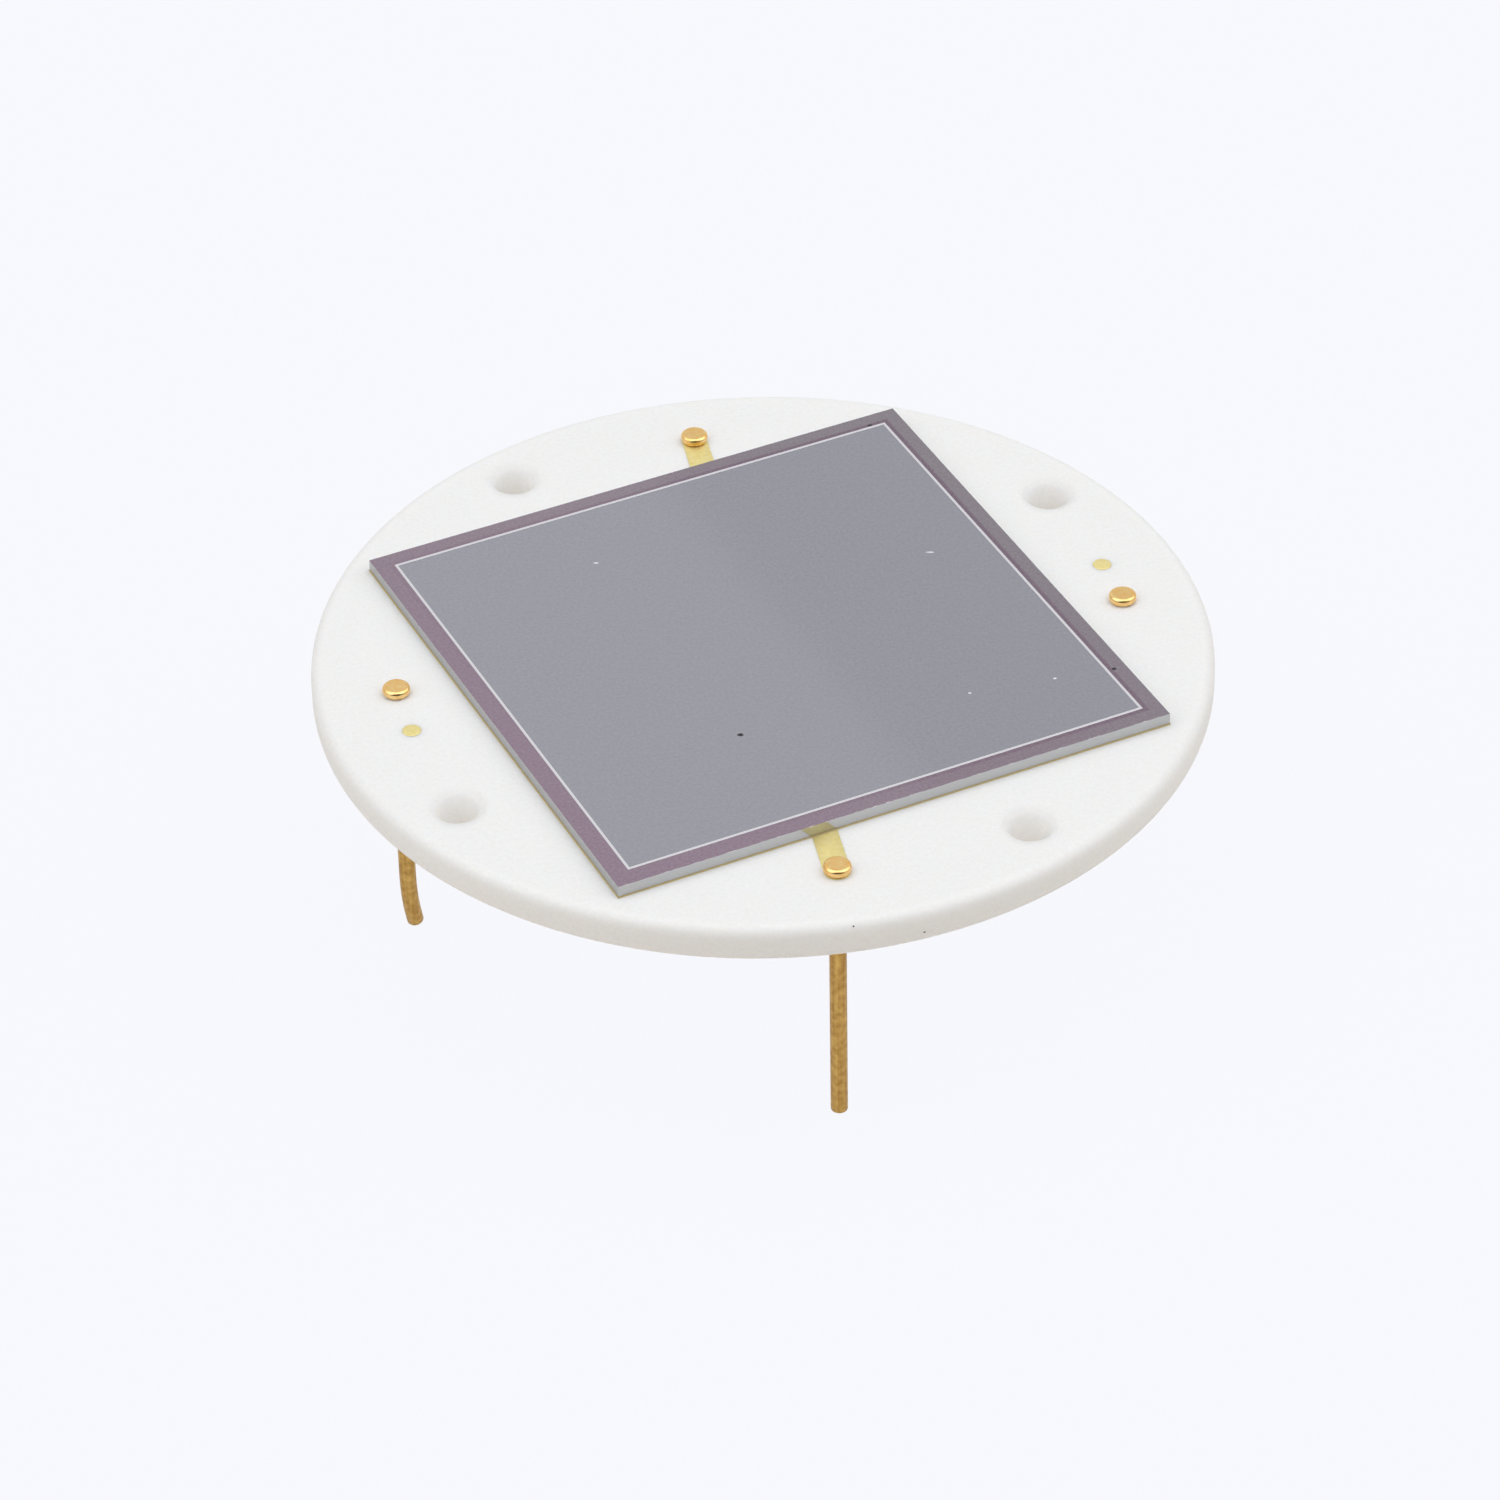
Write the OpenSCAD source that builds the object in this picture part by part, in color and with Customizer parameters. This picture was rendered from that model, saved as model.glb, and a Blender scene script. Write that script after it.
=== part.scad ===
// Large-area silicon photodiode: a bare square chip on a round ceramic base with four headed pins.
// Lengths are in millimetres. The pin tips stand on z = 0, and the base is centred on the Z axis.
// The pins lie on the X and Y axes: the front pin on -Y, right on +X, back on +Y and left on -X.

/* [Ceramic base] */
// Diameter of the round base
base_d = 25.4; // [24.8:0.1:32]
// Thickness of the base
base_t = 1.13; // [0.9:0.01:2]
// Radius of the rounded rim, on both faces
base_edge_r = 0.35; // [0.1:0.05:0.4]

/* [Mounting holes] */
// Bore of each mounting hole
hole_d = 1.15; // [0.8:0.05:1.6]
// Radius of the rounded mouth of each hole, on both faces
hole_mouth_r = 0.2; // [0.1:0.01:0.3]
// Distance from the rim of the base in to the axis of each hole
hole_inset = 1.7; // [1.3:0.05:2.2]
// Turn from each pin to the next hole, anticlockwise from above
hole_turn = 30; // [22:1:42]

/* [Pins] */
// Diameter of the pin shank
pin_d = 0.48; // [0.4:0.01:0.6]
// Gap between a shank and the wall of its hole in the base
pin_gap = 0.02; // [0.01:0.005:0.04]
// Length of a pin that stands free below the base
pin_free = 7.22; // [4:0.02:12]
// Distance from the rim of the base in to the axis of each pin
pin_inset = 2.3; // [1.6:0.05:2.8]
// Diameter of the flat pin head
pin_head_d = 0.78; // [0.7:0.01:1.1]
// Height of the pin head
pin_head_h = 0.25; // [0.23:0.01:0.4]
// Radius of the rounded edges of the pin head
pin_head_edge_r = 0.1; // [0.03:0.01:0.11]
// Diameter of the collar swaged against the underside of the base
pin_collar_d = 0.8; // [0.7:0.01:1.1]
// Height of the swaged collar
pin_collar_h = 0.55; // [0.2:0.05:0.8]

/* [Bend of the left pin] */
// Height above the tips at which the bend begins
bend_height = 1.9; // [1:0.05:3]
// Angle that the pin has turned through at its tip
bend_angle = 16; // [4:0.5:30]
// Heading of the bent end, anticlockwise from +X
bend_heading = 49; // [0:1:90]

/* [Fired gold print] */
// Thickness of the fired print
print_t = 0.02; // [0.01:0.005:0.05]
// Width of the two tracks from the chip to the front and back pins
track_w = 0.74; // [0.68:0.02:1.2]
// Width of the pad's rim left bare outside the adhesive
pad_rim = 0.01; // [0.01:0.01:0.3]
// Diameter of the round lands, which fill their holes through the base
land_d = 0.53; // [0.3:0.01:0.8]
// Turn from the left and right pins to their lands, anticlockwise from above
land_turn = 10; // [6:0.5:16]
// Width of the straps below the base from the lands to their pins
strap_w = 0.5; // [0.3:0.05:0.7]

/* [Silicon chip] */
// Side of the square chip
chip_side = 16.8; // [14:0.1:17.4]
// Thickness of the chip
chip_t = 0.33; // [0.25:0.01:0.6]
// Turn of the chip's sides from the lines through the pins, anticlockwise from above
chip_turn = 15; // [0:1:25]

/* [Adhesive] */
// Thickness of the adhesive under the chip
attach_t = 0.02; // [0.01:0.01:0.1]
// Width of the bead of adhesive round the foot of the chip
attach_bead = 0.02; // [0.01:0.01:0.15]
// Height that the bead climbs up the walls of the chip
attach_climb = 0.01; // [0.01:0.01:0.2]

/* [Contact line] */
// Distance from the edge of the chip in to the contact line
ring_inset = 0.55; // [0.3:0.01:1.5]
// Width of the contact line
ring_w = 0.08; // [0.05:0.01:0.3]
// Thickness of the contact line
ring_t = 0.01; // [0.005:0.005:0.03]

/* [Hidden] */
$fn = 96;

// Headings of the four pins from the axis of the base
right_heading = 0;
back_heading = 90;
left_heading = 180;
front_heading = 270;
pin_headings = [right_heading, back_heading, left_heading, front_heading];

// Radii on plan
base_r = base_d / 2;
pin_r = pin_d / 2;
pin_hole_r = pin_r + pin_gap;
pin_circle_r = base_r - pin_inset;
hole_circle_r = base_r - hole_inset;

// Heights of the faces, from the pin tips up
base_z = pin_free;
top_z = base_z + base_t;
print_z = top_z + print_t;
chip_z = print_z + attach_t;
chip_top_z = chip_z + chip_t;
strap_z = base_z - print_t;

// Squares on plan, all turned with the chip
attach_side = chip_side + 2 * attach_bead;
pad_side = attach_side + 2 * pad_rim;
ring_side = chip_side - 2 * ring_inset;

// How far the cutting tools run past the faces that they cut
overrun = 0.2;

// Places a piece at a heading and radius from the axis
module at(heading, radius) {
    rotate([0, 0, heading]) translate([radius, 0, 0]) children();
}

// Half section of a round disc on y = 0, with both its edges rounded
module disc_section(radius, height, edge_r) {
    square([radius - edge_r, height]);
    translate([0, edge_r]) square([radius, height - 2 * edge_r]);
    for (y = [edge_r, height - edge_r]) translate([radius - edge_r, y]) circle(r = edge_r);
}

// Half section of what flares at the mouth of a hole whose face is at y = 0
module mouth_section(bore_r, mouth_r) {
    difference() {
        translate([0, -mouth_r]) square([bore_r + mouth_r, mouth_r + overrun]);
        translate([bore_r + mouth_r, -mouth_r]) circle(r = mouth_r);
    }
}

// Cutting tool for a mounting hole with rounded mouths on both faces
module mounting_hole() {
    rotate_extrude() {
        translate([0, -overrun]) square([hole_d / 2, base_t + 2 * overrun]);
        translate([0, base_t]) mouth_section(hole_d / 2, hole_mouth_r);
        mirror([0, 1]) mouth_section(hole_d / 2, hole_mouth_r);
    }
}

// Cutting tool for a plain round hole through the base
module plain_hole(radius) {
    translate([0, 0, -overrun]) cylinder(r = radius, h = base_t + 2 * overrun);
}

module ceramic_base() {
    color("#f1efea") translate([0, 0, base_z]) difference() {
        rotate_extrude() disc_section(base_r, base_t, base_edge_r);
        for (heading = pin_headings) {
            at(heading + hole_turn, hole_circle_r) mounting_hole();
            at(heading, pin_circle_r) plain_hole(pin_hole_r);
        }
        for (heading = [left_heading, right_heading]) {
            at(heading + land_turn, pin_circle_r) plain_hole(land_d / 2);
        }
    }
}

// One film: the pad below the chip, and a track with a round end at the front and back pins
module cathode_print() {
    color("#e3d08a") translate([0, 0, top_z]) linear_extrude(print_t) difference() {
        union() {
            rotate(chip_turn) square(pad_side, center = true);
            for (heading = [front_heading, back_heading]) rotate(heading) {
                translate([0, -track_w / 2]) square([pin_circle_r, track_w]);
                translate([pin_circle_r, 0]) circle(d = track_w);
            }
        }
        for (heading = [front_heading, back_heading]) {
            rotate(heading) translate([pin_circle_r, 0]) circle(r = pin_hole_r);
        }
    }
}

// A bar as long and wide as the bed of adhesive, with its two end faces sloping in to the chip
module bead_prism() {
    rise = attach_t + attach_climb;
    rotate([90, 0, 0]) linear_extrude(attach_side, center = true) polygon([
        [-attach_side / 2, 0],
        [attach_side / 2, 0],
        [chip_side / 2, rise],
        [-chip_side / 2, rise]
    ]);
}

// A thin bed under the chip, with a sloping bead that climbs a little up its walls
module die_attach() {
    color("#9d9588") translate([0, 0, print_z]) rotate(chip_turn) difference() {
        intersection() {
            bead_prism();
            rotate(90) bead_prism();
        }
        translate([0, 0, attach_t]) linear_extrude(chip_t) square(chip_side, center = true);
    }
}

module silicon_chip() {
    color("#9b9ba3") translate([0, 0, chip_z]) rotate(chip_turn) linear_extrude(chip_t) {
        square(chip_side, center = true);
    }
}

module contact_ring() {
    color("#dcd8de") translate([0, 0, chip_top_z]) rotate(chip_turn) linear_extrude(ring_t) difference() {
        square(ring_side, center = true);
        square(ring_side - 2 * ring_w, center = true);
    }
}

// Half section of a pin from low_z up: shank, swaged collar below foot_z, and head on seat_z
module pin_section(low_z, foot_z, seat_z) {
    translate([0, low_z]) square([pin_r, seat_z - low_z]);
    translate([0, foot_z - pin_collar_h]) polygon([
        [0, 0],
        [pin_r, 0],
        [pin_collar_d / 2, pin_collar_h / 2],
        [pin_collar_d / 2, pin_collar_h],
        [0, pin_collar_h]
    ]);
    translate([0, seat_z]) disc_section(pin_head_d / 2, pin_head_h, pin_head_edge_r);
}

module straight_pin(heading, foot_z, seat_z) {
    color("#d9a441") at(heading, pin_circle_r) rotate_extrude() pin_section(0, foot_z, seat_z);
}

// A pin whose end was knocked out of line: the end is an arc, and its lowest point still stands on z = 0
module bent_pin(heading, foot_z, seat_z) {
    bend_r = bend_height / sin(bend_angle) - pin_r;
    color("#d9a441") at(heading, pin_circle_r) rotate(bend_heading - heading) {
        rotate_extrude() pin_section(bend_height, foot_z, seat_z);
        translate([bend_r, 0, bend_height]) rotate([90, 0, 0]) rotate(180) {
            rotate_extrude(angle = bend_angle) translate([bend_r, 0]) circle(r = pin_r);
        }
    }
}

module pin_front() {
    straight_pin(front_heading, base_z, print_z);
}

module pin_right() {
    straight_pin(right_heading, strap_z, top_z);
}

module pin_back() {
    straight_pin(back_heading, base_z, print_z);
}

module pin_left() {
    bent_pin(left_heading, strap_z, top_z);
}

// A land and its filled hole, with the strap that runs under the base to the collar of the pin
module feedthrough(heading) {
    span = 2 * pin_circle_r * sin(land_turn / 2);
    color("#e3d08a") at(heading + land_turn, pin_circle_r) {
        translate([0, 0, strap_z]) cylinder(d = land_d, h = print_z - strap_z);
        translate([0, 0, strap_z]) linear_extrude(print_t) rotate(-90 - land_turn / 2) difference() {
            union() {
                translate([0, -strap_w / 2]) square([span, strap_w]);
                translate([span, 0]) circle(d = pin_collar_d);
            }
            translate([span, 0]) circle(r = pin_hole_r);
        }
    }
}

module feedthrough_left() {
    feedthrough(left_heading);
}

module feedthrough_right() {
    feedthrough(right_heading);
}

ceramic_base();
cathode_print();
die_attach();
silicon_chip();
contact_ring();
pin_front();
pin_right();
pin_back();
pin_left();
feedthrough_left();
feedthrough_right();
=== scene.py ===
"""Builds the finished look of a large-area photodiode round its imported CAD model."""

import math
import random

import bmesh
import bpy
from bpy.props import FloatProperty, FloatVectorProperty, PointerProperty
from mathutils import Matrix, Vector, noise
from mathutils.geometry import delaunay_2d_cdt


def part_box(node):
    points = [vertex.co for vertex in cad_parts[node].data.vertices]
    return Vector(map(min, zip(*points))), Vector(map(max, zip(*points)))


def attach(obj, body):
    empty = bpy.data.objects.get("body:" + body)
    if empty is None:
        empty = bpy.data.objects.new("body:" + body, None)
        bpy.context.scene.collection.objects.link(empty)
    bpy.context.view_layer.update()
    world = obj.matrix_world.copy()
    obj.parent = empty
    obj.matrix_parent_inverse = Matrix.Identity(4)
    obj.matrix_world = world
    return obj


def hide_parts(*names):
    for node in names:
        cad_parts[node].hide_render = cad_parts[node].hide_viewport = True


bl_info = {
    "name": "Large-area photodiode",
    "version": (1, 0, 0),
    "blender": (4, 5, 0),
    "location": "3D View > Sidebar > Photodiode",
    "description": "Builds a bare photodiode chip on a round ceramic base with headed pins, and its studio",
    "category": "Add Mesh",
}

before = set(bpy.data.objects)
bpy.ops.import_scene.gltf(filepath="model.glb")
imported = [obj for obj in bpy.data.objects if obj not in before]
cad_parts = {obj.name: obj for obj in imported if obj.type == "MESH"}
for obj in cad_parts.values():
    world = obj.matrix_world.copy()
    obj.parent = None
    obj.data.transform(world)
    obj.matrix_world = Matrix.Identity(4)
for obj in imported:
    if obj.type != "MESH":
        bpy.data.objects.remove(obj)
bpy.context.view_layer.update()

MM = 0.001
BODY = "root"

# Levels of the CAD faces, from the pin tips up
BASE_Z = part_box("ceramic_base")[0].z
TOP_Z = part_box("ceramic_base")[1].z
STRAP_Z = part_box("feedthrough_right")[0].z
PRINT_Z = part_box("cathode_print")[1].z
BEAD_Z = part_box("die_attach")[1].z
CHIP_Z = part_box("silicon_chip")[0].z
CHIP_TOP_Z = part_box("silicon_chip")[1].z
LINE_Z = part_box("contact_ring")[1].z

# Headings of the pins from the axis of the base, in degrees anticlockwise from +X
RIGHT, BACK, LEFT, FRONT = 0, 90, 180, 270

# Points round the rim of the base, its holes, lands and pins, and the bores in the films
RIM_POINTS = 384
ROUND_POINTS = 72
BORE_POINTS = 48


def linear(code):
    """An sRGB hex colour as linear red, green and blue."""
    parts = [int(code[i:i + 2], 16) / 255 for i in (1, 3, 5)]
    return tuple(c / 12.92 if c <= 0.04045 else ((c + 0.055) / 1.055) ** 2.4 for c in parts)


def length(name, description, millimetres):
    return FloatProperty(name=name, description=description, default=millimetres * MM, min=0.0,
                         precision=6, unit="LENGTH")


def angle(name, description, degrees):
    return FloatProperty(name=name, description=description, default=math.radians(degrees), unit="ROTATION")


def colour(name, description, code):
    return FloatVectorProperty(name=name, description=description, default=linear(code), size=3,
                               min=0.0, max=1.0, subtype="COLOR")


class BaseSizes(bpy.types.PropertyGroup):
    """Sizes of the ceramic base"""
    radius: length("Radius", "Radius of the round base", 12.7)
    edge_radius: length("Edge radius", "Radius of the rounded rim on both faces", 0.35)
    hole_radius: length("Hole radius", "Radius of the mounting holes", 0.575)
    mouth_radius: length("Mouth radius", "Radius of the rounded mouths of the mounting holes", 0.2)
    hole_circle: length("Hole circle", "Radius of the circle through the mounting holes", 11.0)
    hole_turn: angle("Hole turn", "Turn from each pin to the next mounting hole", 30)


class PrintSizes(bpy.types.PropertyGroup):
    """Sizes of the fired gold print"""
    track_width: length("Track width", "Width of the tracks to the front and back pins", 0.74)
    pad_rim: length("Pad rim", "Width of the pad that shows outside the adhesive", 0.01)
    land_radius: length("Land radius", "Radius of the round lands", 0.265)
    land_turn: angle("Land turn", "Turn from the left and right pins to their lands", 10)
    strap_width: length("Strap width", "Width of the straps below the base", 0.5)
    ragged: length("Raggedness", "How far the printed edges wander", 0.006)


class ChipSizes(bpy.types.PropertyGroup):
    """Sizes of the chip, its adhesive and its contact line"""
    side: length("Side", "Side of the square chip", 16.8)
    turn: angle("Turn", "Turn of the chip from the lines through the pins", 15)
    bead: length("Bead", "Width of the bead of adhesive round the chip", 0.02)
    line_inset: length("Line inset", "Distance from the chip's edge in to the contact line", 0.55)
    line_width: length("Line width", "Width of the contact line", 0.08)
    nick: length("Nick", "Depth of the largest nicks that sawing left in the edges", 0.014)


class PinSizes(bpy.types.PropertyGroup):
    """Sizes of the headed pins"""
    radius: length("Shank radius", "Radius of the pin shank", 0.24)
    gap: length("Hole gap", "Gap between a shank and its hole in the base", 0.02)
    circle: length("Pin circle", "Radius of the circle through the pins", 10.4)
    head_radius: length("Head radius", "Radius of the flat head", 0.39)
    head_edge: length("Head edge", "Radius of the rounded edges of the head", 0.1)
    collar_radius: length("Collar radius", "Radius of the swaged collar below the base", 0.4)
    collar_height: length("Collar height", "Height of the swaged collar", 0.55)
    bend_height: length("Bend height", "Height at which the left pin starts to bend", 1.9)
    bend_angle: angle("Bend angle", "Angle that the left pin has turned through at its tip", 16)
    bend_heading: angle("Bend heading", "Heading of the bent end of the left pin", 49)


class Finishes(bpy.types.PropertyGroup):
    """Colours of the finishes"""
    alumina: colour("Alumina", "Fired alumina", "#fcfcfb")
    alumina_deep: colour("Alumina, deeper", "Fired alumina where its grain is denser", "#f5f5f4")
    gold_print: colour("Gold print", "Matt fired gold", "#f3e4a3")
    gold_print_deep: colour("Gold print, deeper", "Fired gold where the print is thicker", "#e8d890")
    gold_head: colour("Gold head", "Gold plating on the heads", "#ffdf9e")
    gold_head_deep: colour("Gold head, worn", "Gold plating on the heads where it is dulled", "#f3bd6c")
    # The two shank tones are darker than the head tones as painted shade from the base above the shanks. The
    # deeper one also marks random dulled patches
    gold_shank_shaded: colour("Gold shank", "Gold plating along the shanks", "#d6b066")
    gold_shank_shaded_deep: colour("Gold shank, worn", "Gold plating along the shanks where it is dulled", "#a0763a")
    window: colour("Window", "Coated active area of the chip", "#7f7f8c")
    border: colour("Border", "Oxide border of the chip where it is thicker", "#6f4867")
    border_thin: colour("Border, thin", "Oxide border of the chip where it is thinner", "#695b68")
    border_line: colour("Border line", "Darker oxide beside the contact line", "#4b1044")
    sawn: colour("Sawn silicon", "Sawn walls of the chip", "#7f7f85")
    sawn_deep: colour("Sawn silicon, deeper", "Sawn walls of the chip in the marks of the saw", "#6c6c72")
    contact: colour("Contact line", "Evaporated aluminium", "#eeebf0")
    contact_deep: colour("Contact line, deeper", "Evaporated aluminium where its grain is coarser", "#e6e5e9")
    adhesive: colour("Adhesive", "Cured adhesive", "#a5926b")
    filler: colour("Filler", "Specks of filler in the adhesive", "#b8a577")
    lint: colour("Lint", "Pale dust", "#f1f0f3")
    soot: colour("Soot", "Dark dust", "#2a2628")


class StageSettings(bpy.types.PropertyGroup):
    """Camera and light"""
    ground: colour("Background", "Colour of the floor and the backdrop", "#f7f8fd")
    bounce: colour("Bounce", "Light that the floor sends back up, as a colour", "#ebe3d9")
    zenith: colour("Zenith", "Light of the room overhead, as a colour", "#e7e8e9")
    horizon: colour("Horizon", "Light of the room at its foot, as a colour", "#95928a")
    lens: FloatProperty(name="Lens", description="Focal length in millimetres", default=150.0, min=1.0)
    distance: length("Distance", "Distance from the camera to the middle of the base's top face", 175.72)
    azimuth: angle("Azimuth", "Turn of the camera round the part", -10.53)
    elevation: angle("Elevation", "Height of the camera above the part as an angle", 36.435)
    roll: angle("Roll", "Tilt of the camera about its own axis", -1.09)
    aim: FloatVectorProperty(name="Aim", description="Where the camera aims on the base's top face", size=2,
                             default=(-1.264 * MM, -4.643 * MM), precision=6, unit="LENGTH")


class Photodiode(bpy.types.PropertyGroup):
    """All settings of the photodiode and its stage"""
    base: PointerProperty(type=BaseSizes)
    film: PointerProperty(type=PrintSizes)
    chip: PointerProperty(type=ChipSizes)
    pins: PointerProperty(type=PinSizes)
    finishes: PointerProperty(type=Finishes)
    stage: PointerProperty(type=StageSettings)


# Shared tools

def add_node(tree, kind, settings=None, inputs=None):
    """Adds a node, sets its properties, and gives each named input a value or a link."""
    made = tree.nodes.new(kind)
    for key, value in (settings or {}).items():
        setattr(made, key, value)
    for key, value in (inputs or {}).items():
        socket = made.inputs[key]
        if isinstance(value, bpy.types.NodeSocket):
            tree.links.new(value, socket)
        elif socket.type == "RGBA":
            socket.default_value = (*value, 1.0)
        else:
            socket.default_value = value
    return made


def polar(radius, heading):
    """A point on plan at a radius and a heading in radians."""
    return Vector((radius * math.cos(heading), radius * math.sin(heading)))


def direction(heading, elevation):
    """A unit vector at a heading and an elevation in degrees."""
    tilt = math.radians(elevation)
    return Vector((*polar(math.cos(tilt), math.radians(heading)), math.sin(tilt)))


def arc(centre, radius, start, end, count):
    """Points on plan along an arc, both ends included, with the angles in degrees."""
    steps = [math.radians(start + (end - start) * i / count) for i in range(count + 1)]
    return [centre + polar(radius, step) for step in steps]


def circle(centre, radius, count, hole=False):
    """Points round a circle, clockwise for a hole."""
    points = arc(centre, radius, 0, 360, count)[:-1]
    return points[::-1] if hole else points


def square(side, turn, hole=False):
    """Corners of a square round the axis."""
    corners = [polar(side / math.sqrt(2), turn + math.radians(45 + 90 * i)) for i in range(4)]
    return corners[::-1] if hole else corners


def divided(points, step):
    """A closed loop with points added so that none are further apart than step."""
    slack = 1e-6
    loop = []
    for here, there in zip(points, points[1:] + points[:1]):
        count = max(1, math.ceil((there - here).length / step - slack))
        loop += [here.lerp(there, i / count) for i in range(count)]
    return loop


def wander(points, size, reach, seed):
    """How far each point of a loop wanders in, from smooth noise of a given size."""
    return [reach * (0.5 + 0.5 * noise.noise(Vector((*point, seed)) / size)) for point in points]


def inset_loop(points, inset):
    """The loop moved into the material, with mitred corners. The inset is one value or one for each point."""
    moved = []
    for i, point in enumerate(points):
        before = (point - points[i - 1]).normalized()
        after = (points[(i + 1) % len(points)] - point).normalized()
        side_before = Vector((before.y, -before.x))
        side_after = Vector((after.y, -after.x))
        mitre = (side_before + side_after) / (1 + side_before.dot(side_after))
        moved.append(point - mitre * (inset[i] if isinstance(inset, list) else inset))
    return moved


def inside(point, ring):
    """Whether a point lies inside a closed ring of points on plan."""
    crossings = 0
    for here, there in zip(ring, ring[1:] + ring[:1]):
        if (here.y > point.y) != (there.y > point.y):
            crossings += here.x + (point.y - here.y) * (there.x - here.x) / (there.y - here.y) > point.x
    return crossings % 2 == 1


def cap(bm, rings, spots, upward):
    """Closes the flat face that lies between an outer ring of vertices and the rings round its holes."""
    within_edges = 1
    tolerance = 1e-7
    corners = [vert for ring in rings for vert in ring]
    z = corners[0].co.z
    corners += [bm.verts.new((*spot, z)) for spot in spots]
    edges, start = [], 0
    for ring in rings:
        edges += [(start + i, start + (i + 1) % len(ring)) for i in range(len(ring))]
        start += len(ring)
    plan = [vert.co.xy / MM for vert in corners]
    _, _, faces, origins, _, _ = delaunay_2d_cdt(plan, edges, [], within_edges, tolerance)
    holes = [[vert.co.xy for vert in ring] for ring in rings[1:]]
    for face in faces:
        verts = [corners[origins[i][0]] for i in face]
        middle = sum((vert.co.xy for vert in verts), Vector((0, 0))) / len(verts)
        if not any(inside(middle, hole) for hole in holes):
            bm.faces.new(verts if upward else verts[::-1])


def slab(bm, loops, spots=()):
    """A closed solid between a bottom and a top face. Each loop is a list of points, anticlockwise round the
    material and clockwise round a hole, with its profile: (inset, z) pairs from the bottom face up."""
    bottom, top = [], []
    for points, profile in loops:
        rings = [[bm.verts.new((*point, z)) for point in inset_loop(points, inset)] for inset, z in profile]
        for low, high in zip(rings, rings[1:]):
            for i, vert in enumerate(low):
                after = (i + 1) % len(low)
                bm.faces.new((vert, low[after], high[after], high[i]))
        bottom.append(rings[0])
        top.append(rings[-1])
    cap(bm, bottom, spots, upward=False)
    cap(bm, top, spots, upward=True)


def rounded(low, high, radius, border, count):
    """A profile with rounded bottom and top edges, and a narrow flat border inside each for clean shading."""
    steps = [math.pi / 2 * i / count for i in range(count + 1)]
    below = [(radius * (1 - math.sin(s)), low + radius * (1 - math.cos(s))) for s in steps]
    above = [(radius * (1 - math.cos(s)), high - radius * (1 - math.sin(s))) for s in steps]
    return [(radius + border, low), *below, *above, (radius + border, high)]


def new_piece(name, bm, materials, sharp=35):
    """An object at the origin from a finished mesh, smooth but for its sharp edges."""
    mesh = bpy.data.meshes.new(name)
    bm.to_mesh(mesh)
    bm.free()
    return dress(bpy.data.objects.new(name, mesh), materials, sharp)


def dress(piece, materials, sharp=35):
    """Gives a piece its materials and shading, and links it to the scene."""
    mesh = piece.data
    if not mesh.polygons:
        raise RuntimeError(piece.name + " came out empty")
    for material in materials:
        mesh.materials.append(material)
    mesh.shade_smooth()
    mesh.set_sharp_from_angle(angle=math.radians(sharp))
    if piece.name not in bpy.context.scene.collection.objects:
        bpy.context.scene.collection.objects.link(piece)
    return piece


def seat(piece, slot, *nodes):
    """Puts a piece on the part and hides the CAD nodes it stands for. The slot, the finish it takes, is not
    used.
    """
    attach(piece, BODY)
    if nodes:
        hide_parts(*nodes)


def new_tree(name, sockets):
    """An empty Geometry Nodes tree with named inputs, and its group input node."""
    tree = bpy.data.node_groups.new(name, "GeometryNodeTree")
    for label, kind in sockets:
        tree.interface.new_socket(label, in_out="INPUT", socket_type="NodeSocket" + kind)
    tree.interface.new_socket("Geometry", in_out="OUTPUT", socket_type="NodeSocketGeometry")
    return tree, add_node(tree, "NodeGroupInput").outputs


def close_tree(tree, geometry, material, selection=True):
    """Ends a tree: real geometry, with a material on what is selected."""
    real = add_node(tree, "GeometryNodeRealizeInstances", None, {"Geometry": geometry}).outputs[0]
    faced = add_node(tree, "GeometryNodeSetMaterial", None,
                     {"Geometry": real, "Selection": selection, "Material": material}).outputs[0]
    add_node(tree, "NodeGroupOutput", None, {"Geometry": faced})


def grow(name, tree, mesh, values):
    """Runs a tree on a mesh and returns the piece with the plain closed mesh that comes out."""
    piece = bpy.data.objects.new(name, mesh)
    bpy.context.scene.collection.objects.link(piece)
    modifier = piece.modifiers.new("Form", "NODES")
    modifier.node_group = tree
    for item in tree.interface.items_tree:
        if item.in_out == "INPUT" and item.name in values:
            modifier[item.identifier] = values[item.name]
    grown = bpy.data.meshes.new_from_object(piece.evaluated_get(bpy.context.evaluated_depsgraph_get()))
    piece.modifiers.remove(modifier)
    piece.data = grown
    bpy.data.meshes.remove(mesh)
    bm = bmesh.new()
    bm.from_mesh(grown)
    bmesh.ops.recalc_face_normals(bm, faces=bm.faces)
    bm.to_mesh(grown)
    bm.free()
    return dress(piece, [])


# Materials

# The Mix node's setting and sockets for colours. They are numbered, because other sockets share their names
COLOURS = {"data_type": "RGBA"}
SHARE, FROM, TO, MIXED = 0, 6, 7, 2


def new_material(name, **constants):
    """A material with its shader's constant inputs set, its tree, its shader and its Object coordinates."""
    material = bpy.data.materials.new(name)
    material.use_nodes = True
    tree = material.node_tree
    tree.nodes.clear()
    inputs = {key.replace("_", " "): value for key, value in constants.items()}
    shader = add_node(tree, "ShaderNodeBsdfPrincipled", None, inputs)
    add_node(tree, "ShaderNodeOutputMaterial", None, {"Surface": shader.outputs[0]})
    place = add_node(tree, "ShaderNodeTexCoord").outputs["Object"]
    return material, tree, shader, place


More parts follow.
